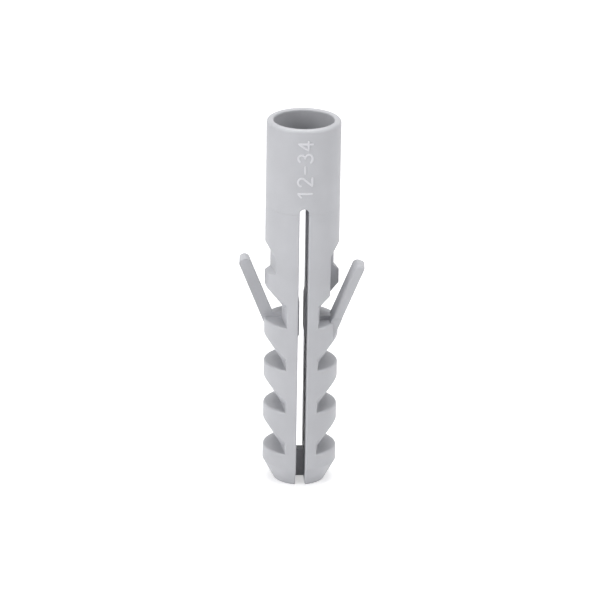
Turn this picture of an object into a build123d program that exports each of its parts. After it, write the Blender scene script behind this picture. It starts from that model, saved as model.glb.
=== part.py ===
"""Nylon wall plug: collar, two slotted spreading legs with saw teeth, two folding wings, tip web.

Frame: origin at the centre of the tip's flat end, +Z up the bore to the mouth, the slot opens
through front (-Y) and back (+Y), the teeth and wings stand to the left (-X) and right (+X).
The right leg and wing are modelled; the left ones are the same pieces turned half a turn about Z.
"""
import os
from math import cos, radians, sin, tan

from build123d import *

# collar and bore
LENGTH = 50.0
OUTER_R = 4.85
WALL = 0.9
BORE_R = OUTER_R - WALL
RIM_OUTER_FILLET = 0.42
RIM_INNER_FILLET = 0.25

# slot between the legs
SLOT_W = 1.2
SLOT_TOP_Z = 39.2
SLOT_EDGE_FILLET = 0.2
HINGE_Z = SLOT_TOP_Z - SLOT_W / 2 - 0.2

# funnel and screw channel inside the legs
FUNNEL_TOP_Z = 37.0
FUNNEL_END_Z = 28.0
CHANNEL_R = 1.6
CHANNEL_END_Z = 4.6
RIB_R = 1.25
RIB_H = 1.6
RIB_LIFT = 1.2

# lands that pinch the channel so that a screw spreads the legs
LAND_GAP = 0.68
LAND_TOP_Z = 26.9
LAND_END_Z = 20.8
LAND_DEPTH = 2.0

# saw teeth: flat ledge, upright wall of the rail, conical flank out to the round
FIRST_LEDGE_Z = 22.6
LAST_LEDGE_Z = 4.75
TEETH = 4
TOOTH_PITCH = (FIRST_LEDGE_Z - LAST_LEDGE_Z) / (TEETH - 1)
AXIS_OFFSET = 4.0
TOOTH_RISE = 3.9
TOOTH_SLOPE = 0.62
SHOULDER_RISE = 4.85
SHOULDER_SLOPE = 0.8
RAIL_DEPTH = 2.31
RAIL_X = OUTER_R - RAIL_DEPTH
RAIL_DRAFT = 0.114
EDGE_FILLET = 0.26

# tip
TIP_STEP = 1.48
TIP_R = OUTER_R - TIP_STEP
TIP_H = 2.77
TIP_EDGE_FILLET = 0.25

# lower end of the collar, the recess with its shoulder, and the wing pocket
RECESS_DEPTH = 0.7
RECESS_X = OUTER_R - RECESS_DEPTH
RECESS_H = 3.4
SHOULDER_H = 7.25
SHOULDER_TOP_Z = FIRST_LEDGE_Z + SHOULDER_H
COLLAR_END_Z = SHOULDER_TOP_Z + RECESS_H
COLLAR_FLANK_SLOPE = 0.54
COLLAR_DRAFT = 0.2
SHOULDER_CHAMFER = 0.55 / 0.70
POCKET_DEPTH = 1.15
POCKET_X = OUTER_R - POCKET_DEPTH
POCKET_DRAFT = 0.03

# wings
WING_TILT = 22.2
WING_ROOT_DEPTH = 1.085
WING_ROOT_X = OUTER_R - WING_ROOT_DEPTH
WING_T = 1.565
WING_DEPTH = 2.6
WING_GAP = 0.1
WING_DRAFT = 0.077
WING_LENGTH = 8.27
WING_TIP_INNER_FILLET = 0.68
WING_TIP_OUTER_FILLET = 0.42
WING_EDGE_FILLET = 0.3
ROOT_H = 0.6
ROOT_Z = FIRST_LEDGE_Z + ROOT_H
GUSSET_DEPTH = 1.3
STUB_H = 2.4
STUB_END_Z = FIRST_LEDGE_Z - STUB_H

# breaking web at the tip
WEB_T = 1.4
WEB_BOTTOM_Z = 0.25
WEB_TOP_Z = 4.0

REACH = OUTER_R + 1.2
SIDE_REACH = 2.3
SIDE_X = OUTER_R + SIDE_REACH


def drafted(draft):
    """Direction that leaves the middle plane to the front and leans inward by the draft."""
    return (-draft, -1, 0)


def saw_notch(rise, slope):
    """Notch above a ledge at height 0.

    Its flank is a cone about an upright axis beyond the bore. It meets the outer round at the
    given rise and comes in by the slope for each mm down.
    """
    flank_r = OUTER_R + AXIS_OFFSET
    with BuildPart() as cutter:
        with BuildSketch(Plane(origin=(-AXIS_OFFSET, 0, 0), x_dir=(-1, 0, 0), z_dir=(0, 1, 0))):
            Polygon(
                (flank_r - rise * slope, 0),
                (flank_r + SIDE_REACH, 0),
                (flank_r + SIDE_REACH, rise + SIDE_REACH / slope),
                align=None,
            )
        revolve(axis=Axis((-AXIS_OFFSET, 0, 0), (0, 0, 1)))
        with BuildSketch(Plane.XY):
            Polygon(
                (RAIL_X, 0),
                (RAIL_X - REACH * RAIL_DRAFT, -REACH),
                (2 * SIDE_X, -REACH),
                (2 * SIDE_X, REACH),
                (RAIL_X - REACH * RAIL_DRAFT, REACH),
                align=None,
            )
        extrude(amount=LENGTH, mode=Mode.INTERSECT)
    return cutter.part


def collar_flank_z(x):
    """Height of the collar's sloping lower end on the middle plane."""
    return COLLAR_END_Z + (x - OUTER_R) / COLLAR_FLANK_SLOPE


def side_recess():
    """Hollow between the collar and the shoulder, in front of the middle plane."""
    with BuildPart() as cutter:
        with BuildSketch(Plane.XZ):
            Polygon(
                (RECESS_X, SHOULDER_TOP_Z),
                (SIDE_X, SHOULDER_TOP_Z - (SIDE_X - RECESS_X) * SHOULDER_CHAMFER),
                (SIDE_X, collar_flank_z(SIDE_X)),
                (RECESS_X, collar_flank_z(RECESS_X)),
                align=None,
            )
        extrude(amount=REACH, dir=drafted(COLLAR_DRAFT))
    return cutter.part


def wing_pocket():
    """Pocket that the folded wing lies in, in front of the middle plane."""
    inside_x = POCKET_X - 0.5
    with BuildPart() as cutter:
        with BuildSketch(Plane.XZ):
            Polygon(
                (inside_x, FIRST_LEDGE_Z),
                (SIDE_X + REACH * COLLAR_DRAFT, FIRST_LEDGE_Z),
                (SIDE_X + REACH * COLLAR_DRAFT, collar_flank_z(SIDE_X + REACH * COLLAR_DRAFT)),
                (inside_x, collar_flank_z(inside_x)),
                align=None,
            )
        extrude(amount=REACH, dir=drafted(COLLAR_DRAFT))
        with BuildSketch(Plane.XZ):
            with Locations((POCKET_X, 0)):
                Rectangle(SIDE_X, LENGTH, align=Align.MIN)
        extrude(amount=REACH, dir=drafted(POCKET_DRAFT), mode=Mode.INTERSECT)
    return cutter.part


def wing_bar(below, above):
    """Bar along the wing's lean, tapering in thickness away from the middle plane.

    It reaches the given lengths below and above the wing's root.
    """
    root = Plane(
        origin=(WING_ROOT_X, -WING_GAP, ROOT_Z),
        x_dir=(cos(radians(WING_TILT)), 0, -sin(radians(WING_TILT))),
        z_dir=(0, -1, 0),
    )
    with BuildPart() as bar:
        with BuildSketch(root):
            with Locations((0, -below)):
                Rectangle(2 * WING_T, above + below, align=Align.MIN)
        extrude(amount=WING_DEPTH - WING_GAP, dir=drafted(-WING_DRAFT))
        with BuildSketch(root):
            with Locations((WING_T, -2 * below)):
                Rectangle(3 * WING_T, 2 * (above + 2 * below), align=(Align.MAX, Align.MIN))
        extrude(amount=WING_DEPTH - WING_GAP, dir=drafted(WING_DRAFT), mode=Mode.INTERSECT)
    return bar.part


tooth_cut = saw_notch(TOOTH_RISE, TOOTH_SLOPE)
shoulder_cut = saw_notch(SHOULDER_RISE, SHOULDER_SLOPE)
recess_cut = side_recess()
pocket_cut = wing_pocket()
wing_blank = wing_bar(0.5 * WING_LENGTH, WING_LENGTH)
with BuildPart() as wing_stub:
    add(wing_blank)
    with Locations((0, 0, STUB_END_Z)):
        Box(
            4 * OUTER_R,
            4 * OUTER_R,
            ROOT_Z - STUB_END_Z,
            align=(Align.CENTER, Align.CENTER, Align.MIN),
            mode=Mode.INTERSECT,
        )
tooth_ledges = [FIRST_LEDGE_Z - n * TOOTH_PITCH for n in range(1, TEETH)]


def on_outer_round(edge):
    """True for an edge that lies on the turned outside of the blank, clear of its ends."""
    points = [edge @ t for t in (0.1, 0.5, 0.9)]
    round_edge = all(abs((p.X**2 + p.Y**2) ** 0.5 - OUTER_R) < 0.005 for p in points)
    return round_edge and edge.center().X > 0


# ---------------------------------------------------------------- the leg on the right
with BuildPart() as right_leg:
    # turned blank with the conical tip
    with BuildSketch(Plane(origin=(0, 0, 0), x_dir=(-1, 0, 0), z_dir=(0, 1, 0))):
        with BuildLine():
            Polyline(
                (0, 0),
                (TIP_R, 0),
                (OUTER_R, TIP_H),
                (OUTER_R, HINGE_Z),
                (0, HINGE_Z),
                close=True,
            )
        make_face()
    revolve(axis=Axis.Z)
    fillet(right_leg.edges().group_by(Axis.Z)[0], TIP_EDGE_FILLET)

    # saw-tooth notches, with rails left beside the slot at front and back
    with Locations(*[(0, 0, z) for z in tooth_ledges]):
        add(tooth_cut, mode=Mode.SUBTRACT)
    with Locations((0, 0, FIRST_LEDGE_Z)):
        add(shoulder_cut, mode=Mode.SUBTRACT)

    # rounded rims of the ledges and rails
    rims = right_leg.edges().filter_by(on_outer_round)
    rims = rims.filter_by(GeomType.CIRCLE) + rims.filter_by(GeomType.LINE)
    rims = rims.filter_by(lambda e: LAST_LEDGE_Z - 0.1 < e.center().Z < FIRST_LEDGE_Z + SHOULDER_RISE)
    fillet(rims, EDGE_FILLET)

    # recess and shoulder behind, wing pocket in front
    add(mirror(recess_cut, about=Plane.XZ, mode=Mode.PRIVATE), mode=Mode.SUBTRACT)
    add(pocket_cut, mode=Mode.SUBTRACT)

    # wing root standing on the first tooth, and its gusset to the rail
    add(wing_stub.part)
    with BuildSketch(Plane.XZ.offset(WING_GAP)):
        with Locations((RAIL_X - 0.5, FIRST_LEDGE_Z - 0.3)):
            Rectangle(WING_ROOT_X - RAIL_X + 1.0, ROOT_H + 0.3, align=Align.MIN)
    extrude(amount=GUSSET_DEPTH - WING_GAP)

    # funnel and screw channel
    with BuildSketch(Plane.XZ):
        with BuildLine():
            Polyline(
                (0, HINGE_Z),
                (BORE_R, HINGE_Z),
                (BORE_R, FUNNEL_TOP_Z),
                (CHANNEL_R, FUNNEL_END_Z),
                (CHANNEL_R, CHANNEL_END_Z),
                (0, CHANNEL_END_Z),
                close=True,
            )
        make_face()
    revolve(axis=Axis.Z, mode=Mode.SUBTRACT)

    # keep the right half beside the slot
    with Locations((SLOT_W / 2, 0, 0)):
        Box(
            SIDE_X,
            4 * OUTER_R,
            LENGTH,
            align=(Align.MIN, Align.CENTER, Align.MIN),
            mode=Mode.INTERSECT,
        )
    slot_rims = right_leg.edges().filter_by_position(Axis.X, SLOT_W / 2 - 0.01, SLOT_W / 2 + 0.01)
    slot_rims = slot_rims.filter_by(lambda e: e.length > 1 and abs((e @ 0.5).Y) > BORE_R + 0.1)
    fillet(slot_rims, SLOT_EDGE_FILLET)

    # land that pinches the screw channel, and ribs that the screw's thread bites into
    with BuildSketch(Plane.XZ):
        Polygon(
            (SLOT_W / 2, LAND_END_Z - 0.5),
            (LAND_GAP / 2, LAND_END_Z),
            (LAND_GAP / 2, LAND_TOP_Z - 1.5),
            (SLOT_W / 2, LAND_TOP_Z),
            (CHANNEL_R + 0.4, LAND_TOP_Z),
            (CHANNEL_R + 0.4, LAND_END_Z - 0.5),
            align=None,
        )
    extrude(amount=LAND_DEPTH, both=True)
    for z in tooth_ledges:
        with BuildSketch(Plane.XY.offset(z + RIB_LIFT)):
            Circle(CHANNEL_R + 0.3)
            Circle(RIB_R, mode=Mode.SUBTRACT)
            with Locations((SLOT_W / 2, 0)):
                Rectangle(SIDE_X, SIDE_X, align=(Align.MIN, Align.CENTER), mode=Mode.INTERSECT)
        extrude(amount=RIB_H)
right_leg.part.label = "right_leg"

with BuildPart() as left_leg:
    add(right_leg.part.rotate(Axis.Z, 180))
left_leg.part.label = "left_leg"

# ---------------------------------------------------------------- the wings
with BuildPart() as right_wing:
    add(wing_blank)
    with Locations((0, 0, ROOT_Z)):
        Box(
            6 * OUTER_R,
            6 * OUTER_R,
            2 * WING_LENGTH,
            align=(Align.CENTER, Align.CENTER, Align.MIN),
            mode=Mode.INTERSECT,
        )
    ends = right_wing.edges().filter_by(lambda e: (e @ 0.5).Z > ROOT_Z + 0.5 * WING_LENGTH)
    across = ends.filter_by(lambda e: abs((e @ 0).Y - (e @ 1).Y) > 1).sort_by(Axis.Z)
    fillet(across[-1], WING_TIP_INNER_FILLET)
    ends = right_wing.edges().filter_by(lambda e: (e @ 0.5).Z > ROOT_Z + 0.5 * WING_LENGTH)
    across = ends.filter_by(lambda e: abs((e @ 0).Y - (e @ 1).Y) > 1).sort_by(Axis.X)
    fillet(across[-1], WING_TIP_OUTER_FILLET)
    rim = right_wing.faces().sort_by(Axis.Y)[0].edges()
    rim = rim.filter_by(lambda e: (e @ 0.5).Z > ROOT_Z + 0.01)
    fillet(rim, WING_EDGE_FILLET)
right_wing.part.label = "right_wing"

with BuildPart() as left_wing:
    add(right_wing.part.rotate(Axis.Z, 180))
left_wing.part.label = "left_wing"

# ---------------------------------------------------------------- the collar
with BuildPart() as sleeve:
    with BuildSketch(Plane.XY.offset(HINGE_Z)):
        Circle(OUTER_R)
        Circle(BORE_R, mode=Mode.SUBTRACT)
    extrude(amount=LENGTH - HINGE_Z)
    mouth = sleeve.edges().group_by(Axis.Z)[-1].sort_by(SortBy.RADIUS)
    fillet(mouth[0], RIM_INNER_FILLET)
    mouth = sleeve.edges().filter_by(GeomType.CIRCLE).filter_by(lambda e: e.radius > OUTER_R - 0.01)
    fillet(mouth.sort_by(Axis.Z)[-1], RIM_OUTER_FILLET)

    # rounded upper ends of the two slots
    with BuildSketch(Plane.XZ):
        with Locations((0, SLOT_TOP_Z - SLOT_W / 2)):
            Circle(SLOT_W / 2)
        with Locations((0, HINGE_Z)):
            Rectangle(SLOT_W, SLOT_TOP_Z - SLOT_W / 2 - HINGE_Z, align=(Align.CENTER, Align.MIN))
    extrude(amount=2 * OUTER_R, both=True, mode=Mode.SUBTRACT)
    arch = sleeve.edges().filter_by(lambda e: (e @ 0.5).Z > HINGE_Z + 0.05 and (e @ 0.5).Z < LENGTH - 2)
    arch = arch.filter_by(lambda e: abs((e @ 0.5).X) < SLOT_W and abs((e @ 0.5).Y) > BORE_R + 0.5)
    fillet(arch, SLOT_EDGE_FILLET)
sleeve.part.label = "sleeve"

# ---------------------------------------------------------------- the breaking web
with BuildPart() as tip_bridge:
    with Locations((0, 0, WEB_BOTTOM_Z)):
        Box(SLOT_W, WEB_T, WEB_TOP_Z - WEB_BOTTOM_Z, align=(Align.CENTER, Align.CENTER, Align.MIN))
tip_bridge.part.label = "tip_bridge"

os.makedirs("parts", exist_ok=True)
export_step(sleeve.part, "parts/sleeve.step")
export_step(left_leg.part, "parts/left_leg.step")
export_step(right_leg.part, "parts/right_leg.step")
export_step(left_wing.part, "parts/left_wing.step")
export_step(right_wing.part, "parts/right_wing.step")
export_step(tip_bridge.part, "parts/tip_bridge.step")
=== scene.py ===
"""Wall plug in light grey nylon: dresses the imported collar, legs and wings for showing.

Every length is in metres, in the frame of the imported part: Z runs up the bore to the mouth, the
slot opens to the front (-Y), the wings stand to the left and right.
"""

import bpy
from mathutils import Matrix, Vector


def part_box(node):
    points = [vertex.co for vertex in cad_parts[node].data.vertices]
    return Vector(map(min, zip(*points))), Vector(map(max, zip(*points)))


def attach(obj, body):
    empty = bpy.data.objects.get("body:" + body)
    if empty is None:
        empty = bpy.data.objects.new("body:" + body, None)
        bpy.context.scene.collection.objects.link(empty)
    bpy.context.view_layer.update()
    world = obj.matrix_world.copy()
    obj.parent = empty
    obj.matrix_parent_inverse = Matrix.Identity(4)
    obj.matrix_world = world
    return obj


bl_info = {
    "name": "Wall Plug Dressing",
    "version": (1, 0, 0),
    "blender": (4, 5, 0),
    "location": "3D View > Sidebar > Wall Plug",
    "description": "Nylon finish, moulded numerals and studio stage for a slotted wall plug",
    "category": "Object",
}

from math import cos, pi, radians, sin

import bmesh
import bpy
import numpy as np
from bpy.props import FloatProperty, FloatVectorProperty, PointerProperty, StringProperty
from mathutils import Matrix, Vector

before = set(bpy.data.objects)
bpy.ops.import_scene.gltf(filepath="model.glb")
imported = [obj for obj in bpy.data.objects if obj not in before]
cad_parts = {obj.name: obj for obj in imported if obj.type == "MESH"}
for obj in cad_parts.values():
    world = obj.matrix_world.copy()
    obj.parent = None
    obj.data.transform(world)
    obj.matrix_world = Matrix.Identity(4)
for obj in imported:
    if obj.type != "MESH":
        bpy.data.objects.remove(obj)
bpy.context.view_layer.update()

SLEEVE_LOW, SLEEVE_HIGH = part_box("sleeve")
LENGTH = SLEEVE_HIGH.z
OUTER_R = (SLEEVE_HIGH.y - SLEEVE_LOW.y) / 2
MM = 0.001
MIDDLE = Vector((0, 0, LENGTH / 2))
NYLON = "grey_nylon"

# nylon: spread of the roughness over the grain, refraction and share of scattered light
DRIFT_SCALE = 140.0
ROUGHNESS_SPREAD = 0.06
NYLON_IOR = 1.53
SCATTER_SHARE = 0.05

# section of a raised stroke: squareness of its shoulders, depth of its foot in the collar, the
# middle of a mark's box, and where the three sections of a rounded end stand and how far round
# they are, as shares of half the width
SQUARENESS = 0.6
FOOT_DEPTH = 0.08 * MM
GLYPH_MIDDLE = np.array([0.3, 0.5])
CAP_REACH = np.array([1.0, 0.86, 0.55])
CAP_TURN = np.array([0.995, 0.86, 0.55])

# stage: rings and spokes of the floor, its glow to the camera, and the soft boxes
FLOOR_RINGS = 24
FLOOR_SPOKES = 96
FLOOR_GLOW = 0.5
SIDE_ANGLE = radians(57)
SIDE_DISTANCE = 0.45
SIDE_HEIGHT = 0.12
SIDE_SIZE = (0.25, 0.4)
TOP_PLACE = (0.0, 0.05, 0.5)
TOP_SIZE = (0.4, 0.4)
SENSOR_WIDTH = 36.0
WHITE = (1, 1, 1, 1)


# ------------------------------------------------------------------ settings
class NylonSettings(bpy.types.PropertyGroup):
    """Colour and surface of the moulded nylon."""

    colour: FloatVectorProperty(
        name="Colour",
        description="Body colour of the nylon",
        subtype="COLOR",
        size=3,
        min=0.0,
        max=1.0,
        default=(0.515, 0.52, 0.545),
    )
    cloud: FloatProperty(
        name="Clouding",
        description="How much the grey drifts over the part",
        subtype="FACTOR",
        min=0.0,
        max=1.0,
        default=0.05,
    )
    roughness: FloatProperty(
        name="Roughness",
        description="Roughness of the moulded skin",
        subtype="FACTOR",
        min=0.0,
        max=1.0,
        default=0.46,
    )
    grain: FloatProperty(
        name="Grain",
        description="Width of the grain that the mould leaves",
        subtype="DISTANCE",
        unit="LENGTH",
        default=0.22 * MM,
    )
    grain_depth: FloatProperty(
        name="Grain depth",
        description="Depth of that grain",
        subtype="DISTANCE",
        unit="LENGTH",
        default=0.0025 * MM,
    )
    scatter: FloatProperty(
        name="Scatter depth",
        description="How far light runs inside the nylon",
        subtype="DISTANCE",
        unit="LENGTH",
        default=0.35 * MM,
    )
    edge: FloatProperty(
        name="Edge rounding",
        description="Radius at which the light rolls over sharp moulded edges",
        subtype="DISTANCE",
        unit="LENGTH",
        default=0.12 * MM,
    )


class NumeralSettings(bpy.types.PropertyGroup):
    """Raised numerals on the front of the collar."""

    text: StringProperty(
        name="Numerals",
        description="Plain counting numerals and dashes, read from the slot to the mouth",
        default="12-34",
    )
    height: FloatProperty(
        name="Height",
        description="Height of a numeral, across the collar",
        subtype="DISTANCE",
        unit="LENGTH",
        default=2.2 * MM,
    )
    run: FloatProperty(
        name="Run",
        description="Length of the whole row of numerals along the collar",
        subtype="DISTANCE",
        unit="LENGTH",
        default=8.2 * MM,
    )
    stroke: FloatProperty(
        name="Stroke",
        description="Width of a stroke at its foot",
        subtype="DISTANCE",
        unit="LENGTH",
        default=0.27 * MM,
    )
    relief: FloatProperty(
        name="Relief",
        description="How far the numerals stand out of the collar",
        subtype="DISTANCE",
        unit="LENGTH",
        default=0.09 * MM,
    )
    middle: FloatProperty(
        name="Middle",
        description="Height of the row's middle above the tip",
        subtype="DISTANCE",
        unit="LENGTH",
        default=44.6 * MM,
    )


class StageSettings(bpy.types.PropertyGroup):
    """Floor, lights and camera."""

    floor: FloatVectorProperty(
        name="Floor",
        description="Colour of the floor and backdrop",
        subtype="COLOR",
        size=3,
        min=0.0,
        max=1.0,
        default=(0.85, 0.85, 0.86),
    )
    reach: FloatProperty(
        name="Floor reach",
        description="Distance from the part to the floor's rim",
        subtype="DISTANCE",
        unit="LENGTH",
        default=3.0,
    )
    ambient: FloatProperty(
        name="Ambient",
        description="Level of the even light from all around",
        default=0.0,
        min=0.0,
    )
    left: FloatProperty(
        name="Left lamp",
        description="Power of the soft box on the left",
        unit="POWER",
        default=1.5,
        min=0.0,
    )
    right: FloatProperty(
        name="Right lamp",
        description="Power of the soft box on the right",
        unit="POWER",
        default=1.12,
        min=0.0,
    )
    top: FloatProperty(
        name="Top lamp",
        description="Power of the soft box above",
        unit="POWER",
        default=2.5,
        min=0.0,
    )
    azimuth: FloatProperty(
        name="Azimuth",
        description="Camera's angle around the part, from the front towards the right",
        subtype="ANGLE",
        default=radians(-3.0),
    )
    elevation: FloatProperty(
        name="Elevation",
        description="Camera's angle above the level",
        subtype="ANGLE",
        default=radians(20.86),
    )
    roll: FloatProperty(
        name="Roll",
        description="Camera's turn about its own line of sight",
        subtype="ANGLE",
        default=radians(0.9),
    )
    distance: FloatProperty(
        name="Distance",
        description="Camera's distance from the middle of the part",
        subtype="DISTANCE",
        unit="LENGTH",
        default=0.6,
    )
    lens: FloatProperty(
        name="Lens",
        description="Focal length in millimetres",
        default=274.3,
        min=1.0,
    )
    aside: FloatProperty(
        name="Aside",
        description="How far the part stands right of the picture's middle",
        subtype="DISTANCE",
        unit="LENGTH",
        default=0.169 * MM,
    )
    above: FloatProperty(
        name="Above",
        description="How far the part's middle stands above the picture's middle",
        subtype="DISTANCE",
        unit="LENGTH",
        default=0.072 * MM,
    )


# ------------------------------------------------------------------ helpers
def node(tree, kind, **values):
    """New shader node with its attributes and its named or numbered inputs set."""
    made = tree.nodes.new(kind)
    for key, value in values.items():
        if hasattr(made, key):
            setattr(made, key, value)
        else:
            made.inputs[key.replace("_", " ")].default_value = value
    return made


def nylon_material(settings):
    """Satin nylon: a slowly drifting grey, fine moulded grain, edges that the light rolls over."""
    material = bpy.data.materials.new(NYLON)
    material.use_nodes = True
    tree = material.node_tree
    tree.nodes.clear()
    link = tree.links.new
    place = node(tree, "ShaderNodeTexCoord")

    drift = node(tree, "ShaderNodeTexNoise", Scale=DRIFT_SCALE, Detail=3.0, Roughness=0.55)
    link(place.outputs["Object"], drift.inputs["Vector"])
    shades = node(tree, "ShaderNodeValToRGB")
    colour = Vector(settings.colour)
    shades.color_ramp.elements[0].position = 0.3
    shades.color_ramp.elements[0].color = (*(colour * (1 - settings.cloud)), 1)
    shades.color_ramp.elements[1].position = 0.7
    shades.color_ramp.elements[1].color = (*(colour * (1 + settings.cloud)), 1)
    link(drift.outputs["Fac"], shades.inputs["Fac"])

    grain = node(tree, "ShaderNodeTexNoise", Scale=1 / settings.grain, Detail=4.0, Roughness=0.6)
    link(place.outputs["Object"], grain.inputs["Vector"])
    gloss = node(tree, "ShaderNodeMapRange")
    gloss.inputs["To Min"].default_value = settings.roughness - ROUGHNESS_SPREAD
    gloss.inputs["To Max"].default_value = settings.roughness + ROUGHNESS_SPREAD
    link(grain.outputs["Fac"], gloss.inputs["Value"])

    rounding = node(tree, "ShaderNodeBevel", samples=6)
    rounding.inputs["Radius"].default_value = settings.edge
    bump = node(tree, "ShaderNodeBump")
    bump.inputs["Strength"].default_value = 1.0
    bump.inputs["Distance"].default_value = settings.grain_depth
    link(grain.outputs["Fac"], bump.inputs["Height"])
    link(rounding.outputs["Normal"], bump.inputs["Normal"])

    skin = node(tree, "ShaderNodeBsdfPrincipled")
    skin.inputs["IOR"].default_value = NYLON_IOR
    skin.inputs["Subsurface Weight"].default_value = SCATTER_SHARE
    skin.inputs["Subsurface Radius"].default_value = (1.0, 0.95, 0.9)
    skin.inputs["Subsurface Scale"].default_value = settings.scatter
    link(shades.outputs["Color"], skin.inputs["Base Color"])
    link(gloss.outputs["Result"], skin.inputs["Roughness"])
    link(bump.outputs["Normal"], skin.inputs["Normal"])
    out = node(tree, "ShaderNodeOutputMaterial")
    link(skin.outputs["BSDF"], out.inputs["Surface"])
    return material


# ------------------------------------------------------------------ numerals
def arc(centre, radii, start, end, count=24):
    """Points on an ellipse: centre plus the radii times cosine and sine, from start to end degrees."""
    angle = np.radians(np.linspace(start, end, count))
    return np.stack([centre[0] + radii[0] * np.cos(angle), centre[1] + radii[1] * np.sin(angle)], 1)


def straight(*corners, count=8):
    """Points on straight runs: corner a plus (b - a) times a step from 0 to 1."""
    corners = np.array(corners, float)
    steps = np.linspace(0, 1, count)[:, None]
    runs = [a + (b - a) * steps for a, b in zip(corners[:-1], corners[1:])]
    return np.concatenate([runs[0]] + [r[1:] for r in runs[1:]])


def glyph_strokes(mark):
    """Strokes of one mark in a box of width 0.6 and height 1."""
    if mark == "1":
        return [straight((0.12, 0.76), (0.34, 0.98), (0.34, 0.02))]
    if mark == "2":
        crown = arc((0.3, 0.72), (0.24, 0.26), 165, -35, 22)
        return [np.concatenate([crown, straight(crown[-1], (0.07, 0.02), (0.55, 0.02))[1:]])]
    if mark == "3":
        upper = arc((0.27, 0.75), (0.22, 0.23), 145, -90, 20)
        lower = arc((0.27, 0.27), (0.27, 0.25), 90, -145, 24)
        return [np.concatenate([upper, lower[1:]])]
    if mark == "4":
        return [straight((0.42, 0.02), (0.42, 0.98), (0.05, 0.3), (0.57, 0.3))]
    if mark == "-":
        return [straight((0.1, 0.5), (0.5, 0.5))]
    raise ValueError(f"no strokes are drawn for the mark {mark!r}")


def ridge(path, width, relief, sides=10):
    """Closed ridge along a path in the plane.

    At each point of the path stands a section: half a width times cosine to the power SQUARENESS to
    the side, the relief times sine to the same power outward, and a flat foot below the surface. At
    both ends the section narrows like a half circle. Returns (along, across, out) and the faces.
    """
    path = np.asarray(path, float)
    steps = CAP_REACH * width / 2
    caps = len(steps)
    first = path[0] - path[1]
    last = path[-1] - path[-2]
    head = path[0] + first / np.linalg.norm(first) * steps[:, None]
    tail = path[-1] + last / np.linalg.norm(last) * steps[::-1, None]
    path = np.concatenate([head, path, tail])
    narrow = np.ones(len(path))
    narrow[:caps] = np.sqrt(1.0 - CAP_TURN**2)
    narrow[-caps:] = narrow[:caps][::-1]
    tangent = np.gradient(path, axis=0)
    tangent = tangent / np.linalg.norm(tangent, axis=1)[:, None]
    normal = np.stack([-tangent[:, 1], tangent[:, 0]], 1)
    turn = np.linspace(0, pi, sides)
    side = np.concatenate([np.sign(np.cos(turn)) * np.abs(np.cos(turn)) ** SQUARENESS, [-1, 1]])
    out = np.concatenate([np.abs(np.sin(turn)) ** SQUARENESS * relief, [-FOOT_DEPTH, -FOOT_DEPTH]])
    half_width = side[None, :, None] * width / 2 * narrow[:, None, None]
    across = path[:, None, :] + normal[:, None, :] * half_width
    heights = np.where(out > 0, out * narrow[:, None] ** 0.5, out)
    points = np.concatenate([across, heights[:, :, None]], 2).reshape(-1, 3)
    around, rows = len(side), len(path)
    i = np.arange(rows - 1)[:, None]
    j = np.arange(around)[None, :]
    m = (j + 1) % around
    quads = np.stack([i * around + j, i * around + m, (i + 1) * around + m, (i + 1) * around + j], 2)
    faces = quads.reshape(-1, 4).tolist()
    faces.append(list(range(around))[::-1])
    faces.append(list(range((rows - 1) * around, rows * around)))
    return points, faces


def numerals_mesh(settings):
    """Row of marks laid on the collar: a point at distance a along the row, b across it and h out of
    it goes to the circle of radius R + h at the angle b / R from the front, at height a."""
    pitch = settings.run / len(settings.text)
    scale = np.array([settings.height, settings.height - settings.stroke])
    all_points, all_faces, start = [], [], 0
    for place, mark in enumerate(settings.text):
        for path in glyph_strokes(mark):
            points, faces = ridge((path - GLYPH_MIDDLE) * scale, settings.stroke, settings.relief)
            along = points[:, 0] + (place + 0.5) * pitch - settings.run / 2 + settings.middle
            angle = points[:, 1] / OUTER_R
            radius = OUTER_R + points[:, 2]
            placed = np.stack([-radius * np.sin(angle), -radius * np.cos(angle), along], 1)
            all_points.append(placed)
            all_faces += [[v + start for v in face] for face in faces]
            start += len(placed)
    return np.concatenate(all_points), all_faces


# ------------------------------------------------------------------ operators
class PLUG_OT_nylon(bpy.types.Operator):
    """Give the collar, legs, wings and web their nylon finish"""

    bl_idname = "wall_plug.nylon"
    bl_label = "Nylon finish"

    def execute(self, context):
        material = nylon_material(context.scene.wall_plug_nylon)
        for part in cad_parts.values():
            part.data.materials.clear()
            part.data.materials.append(material)
        return {"FINISHED"}


class PLUG_OT_numerals(bpy.types.Operator):
    """Raise the numerals on the front of the collar"""

    bl_idname = "wall_plug.numerals"
    bl_label = "Numerals"

    def execute(self, context):
        points, faces = numerals_mesh(context.scene.wall_plug_numerals)
        mesh = bpy.data.meshes.new("plain_numerals")
        mesh.from_pydata(points.tolist(), [], faces)
        shell = bmesh.new()
        shell.from_mesh(mesh)
        bmesh.ops.recalc_face_normals(shell, faces=shell.faces)
        shell.to_mesh(mesh)
        shell.free()
        mesh.shade_smooth()
        made = bpy.data.objects.new("plain_numerals", mesh)
        context.scene.collection.objects.link(made)
        made.data.materials.append(bpy.data.materials[NYLON])
        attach(made, "collar")
        return {"FINISHED"}


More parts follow.
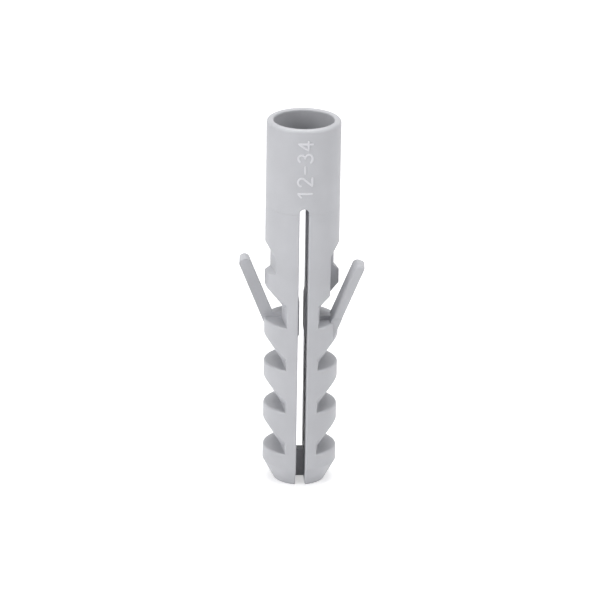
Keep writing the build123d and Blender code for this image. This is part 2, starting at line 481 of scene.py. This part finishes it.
class PLUG_OT_stage(bpy.types.Operator):
    """Set the floor, the backdrop, the soft boxes and the camera"""

    bl_idname = "wall_plug.stage"
    bl_label = "Stage"

    def execute(self, context):
        settings = context.scene.wall_plug_stage
        self.floor(settings)
        self.world(context, settings)
        self.lamps(context, settings)
        self.camera(context, settings)
        return {"FINISHED"}

    def seen_directly(self, tree):
        """Value that is 1 on rays from the camera and on mirror or glass rays, otherwise 0."""
        path = node(tree, "ShaderNodeLightPath")
        both = node(tree, "ShaderNodeMath", operation="MAXIMUM")
        every = node(tree, "ShaderNodeMath", operation="MAXIMUM")
        tree.links.new(path.outputs["Is Camera Ray"], both.inputs[0])
        tree.links.new(path.outputs["Is Glossy Ray"], both.inputs[1])
        tree.links.new(both.outputs[0], every.inputs[0])
        tree.links.new(path.outputs["Is Transmission Ray"], every.inputs[1])
        return every.outputs[0]

    def floor(self, settings):
        """Disc: rings of points at growing radii about the part, flat at height 0."""
        rings = np.linspace(0.0, 1.0, FLOOR_RINGS + 1)[1:, None] ** 2 * settings.reach
        angles = np.linspace(0, 2 * pi, FLOOR_SPOKES + 1)[:-1][None, :]
        ring_points = np.stack([rings * np.cos(angles), rings * np.sin(angles), 0 * rings * angles], 2)
        points = np.concatenate([[[0.0, 0.0, 0.0]], ring_points.reshape(-1, 3)])
        inner = 1 + np.arange(FLOOR_RINGS - 1)[:, None] * FLOOR_SPOKES
        outer = inner + FLOOR_SPOKES
        j = np.arange(FLOOR_SPOKES)[None, :]
        m = (j + 1) % FLOOR_SPOKES
        faces = np.stack([inner + j, outer + j, outer + m, inner + m], 2).reshape(-1, 4).tolist()
        faces += np.stack([0 * j[0], 1 + j[0], 1 + m[0]], 1).tolist()
        mesh = bpy.data.meshes.new("floor")
        mesh.from_pydata(points.tolist(), [], faces)
        made = bpy.data.objects.new("floor", mesh)
        bpy.context.scene.collection.objects.link(made)
        material = bpy.data.materials.new("floor_paper")
        material.use_nodes = True
        tree = material.node_tree
        tree.nodes.clear()
        link = tree.links.new
        paper = node(tree, "ShaderNodeBsdfDiffuse")
        paper.inputs["Color"].default_value = (*settings.floor, 1)
        glow = node(tree, "ShaderNodeEmission")
        glow.inputs["Color"].default_value = WHITE
        glow.inputs["Strength"].default_value = FLOOR_GLOW
        lit = node(tree, "ShaderNodeAddShader")
        link(paper.outputs[0], lit.inputs[0])
        link(glow.outputs[0], lit.inputs[1])
        mix = node(tree, "ShaderNodeMixShader")
        link(self.seen_directly(tree), mix.inputs[0])
        link(paper.outputs[0], mix.inputs[1])
        link(lit.outputs[0], mix.inputs[2])
        out = node(tree, "ShaderNodeOutputMaterial")
        link(mix.outputs[0], out.inputs["Surface"])
        made.data.materials.append(material)

    def world(self, context, settings):
        world = bpy.data.worlds.new("studio")
        context.scene.world = world
        world.use_nodes = True
        tree = world.node_tree
        tree.nodes.clear()
        link = tree.links.new
        even = node(tree, "ShaderNodeBackground")
        even.inputs["Color"].default_value = WHITE
        even.inputs["Strength"].default_value = settings.ambient
        white = node(tree, "ShaderNodeBackground")
        white.inputs["Color"].default_value = WHITE
        white.inputs["Strength"].default_value = 1.0
        mix = node(tree, "ShaderNodeMixShader")
        link(self.seen_directly(tree), mix.inputs[0])
        link(even.outputs[0], mix.inputs[1])
        link(white.outputs[0], mix.inputs[2])
        out = node(tree, "ShaderNodeOutputWorld")
        link(mix.outputs[0], out.inputs["Surface"])

    def lamp(self, context, name, place, size, power):
        """Soft box at a place counted from the middle of the part, and turned to it."""
        light = bpy.data.lights.new(name, "AREA")
        light.shape = "RECTANGLE"
        light.size, light.size_y = size
        light.energy = power
        made = bpy.data.objects.new(name, light)
        made.location = Vector(place) + MIDDLE
        made.rotation_euler = (MIDDLE - made.location).to_track_quat("-Z", "Y").to_euler()
        context.scene.collection.objects.link(made)

    def lamps(self, context, settings):
        aside = SIDE_DISTANCE * sin(SIDE_ANGLE)
        ahead = -SIDE_DISTANCE * cos(SIDE_ANGLE)
        self.lamp(context, "left_box", (-aside, ahead, SIDE_HEIGHT), SIDE_SIZE, settings.left)
        self.lamp(context, "right_box", (aside, ahead, SIDE_HEIGHT), SIDE_SIZE, settings.right)
        self.lamp(context, "top_box", TOP_PLACE, TOP_SIZE, settings.top)

    def camera(self, context, settings):
        azimuth, elevation = settings.azimuth, settings.elevation
        back = Vector((sin(azimuth) * cos(elevation), -cos(azimuth) * cos(elevation), sin(elevation)))
        turn = (-back).to_track_quat("-Z", "Y").to_matrix()
        turn = turn @ Matrix.Rotation(settings.roll, 3, "Z")
        aim = MIDDLE - turn.col[0] * settings.aside - turn.col[1] * settings.above
        data = bpy.data.cameras.new("camera")
        data.lens = settings.lens
        data.sensor_width = SENSOR_WIDTH
        data.clip_start = 0.01
        data.clip_end = 20.0
        made = bpy.data.objects.new("camera", data)
        made.matrix_world = Matrix.Translation(aim + back * settings.distance) @ turn.to_4x4()
        context.scene.collection.objects.link(made)
        context.scene.camera = made


class PLUG_PT_sidebar(bpy.types.Panel):
    """Sizes and steps of the wall plug's dressing"""

    bl_label = "Wall Plug"
    bl_idname = "PLUG_PT_sidebar"
    bl_space_type = "VIEW_3D"
    bl_region_type = "UI"
    bl_category = "Wall Plug"

    def draw(self, context):
        scene = context.scene
        groups = (scene.wall_plug_nylon, scene.wall_plug_numerals, scene.wall_plug_stage)
        for group, operators in zip(groups, STEPS):
            box = self.layout.box()
            for name in group.bl_rna.properties.keys():
                if name not in {"rna_type", "name"}:
                    box.prop(group, name)
            for operator in operators:
                box.operator(operator.bl_idname)


STEPS = ((PLUG_OT_nylon,), (PLUG_OT_numerals,), (PLUG_OT_stage,))
SETTINGS = (NylonSettings, NumeralSettings, StageSettings)


def register():
    for kind in SETTINGS:
        bpy.utils.register_class(kind)
    bpy.types.Scene.wall_plug_nylon = PointerProperty(type=NylonSettings)
    bpy.types.Scene.wall_plug_numerals = PointerProperty(type=NumeralSettings)
    bpy.types.Scene.wall_plug_stage = PointerProperty(type=StageSettings)
    for step in STEPS:
        for operator in step:
            bpy.utils.register_class(operator)
    bpy.utils.register_class(PLUG_PT_sidebar)


def unregister():
    bpy.utils.unregister_class(PLUG_PT_sidebar)
    for step in reversed(STEPS):
        for operator in reversed(step):
            bpy.utils.unregister_class(operator)
    del bpy.types.Scene.wall_plug_stage
    del bpy.types.Scene.wall_plug_numerals
    del bpy.types.Scene.wall_plug_nylon
    for kind in reversed(SETTINGS):
        bpy.utils.unregister_class(kind)


def main():
    register()
    scene = bpy.context.scene
    scene.view_settings.view_transform = "Standard"
    bpy.ops.wall_plug.nylon()
    bpy.ops.wall_plug.numerals()
    bpy.ops.wall_plug.stage()


if __name__ == "__main__":
    main()
